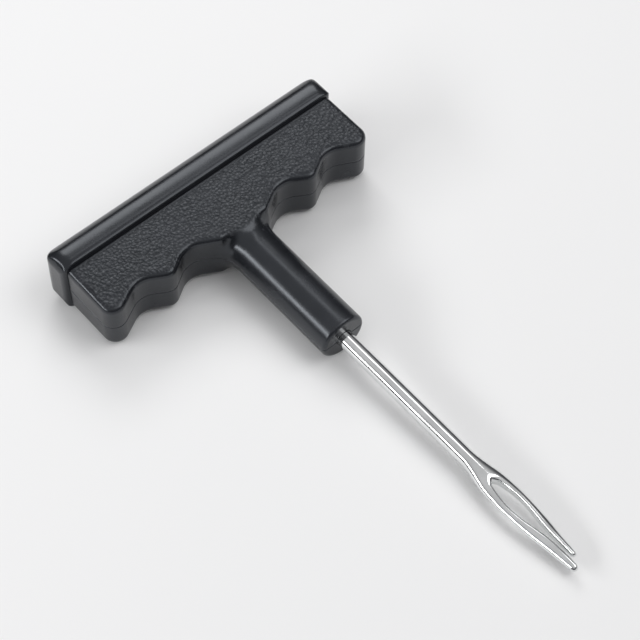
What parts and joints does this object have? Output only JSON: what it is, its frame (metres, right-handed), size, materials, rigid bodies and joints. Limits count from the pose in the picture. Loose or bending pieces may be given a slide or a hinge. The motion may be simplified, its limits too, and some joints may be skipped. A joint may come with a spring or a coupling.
{
  "type": "tyre plug insertion tool",
  "caption": "T-handled hand tool whose steel needle has a split eye, for pushing a rubber plug strip into a punctured tyre and leaving it there.",
  "frame": {"origin": "on the needle's axis, at the foot of the straight part of the neck, where a rack hole or a clip comes to rest", "axes": "+X along the needle towards its tip, Y along the crossbar, +Z through the handle's thickness with the tool lying flat"},
  "size_m": [0.1261, 0.0754, 0.016],
  "materials": {
    "grained_plastic": "moulded black plastic with a fine leather grain on the broad faces and a smoother neck",
    "smooth_plastic": "smooth moulded black plastic with a soft sheen",
    "plated_steel": "bright plated steel with faint draw marks along the shaft",
    "spring_steel": "plain rolled spring steel"
  },
  "bodies": {
    "root": {"upper_handle_shell": "grained_plastic", "lower_handle_shell": "grained_plastic", "palm_bar_cap": "smooth_plastic", "plug_needle": "plated_steel", "needle_retaining_pin": "spring_steel"}
  },
  "joints": []
}
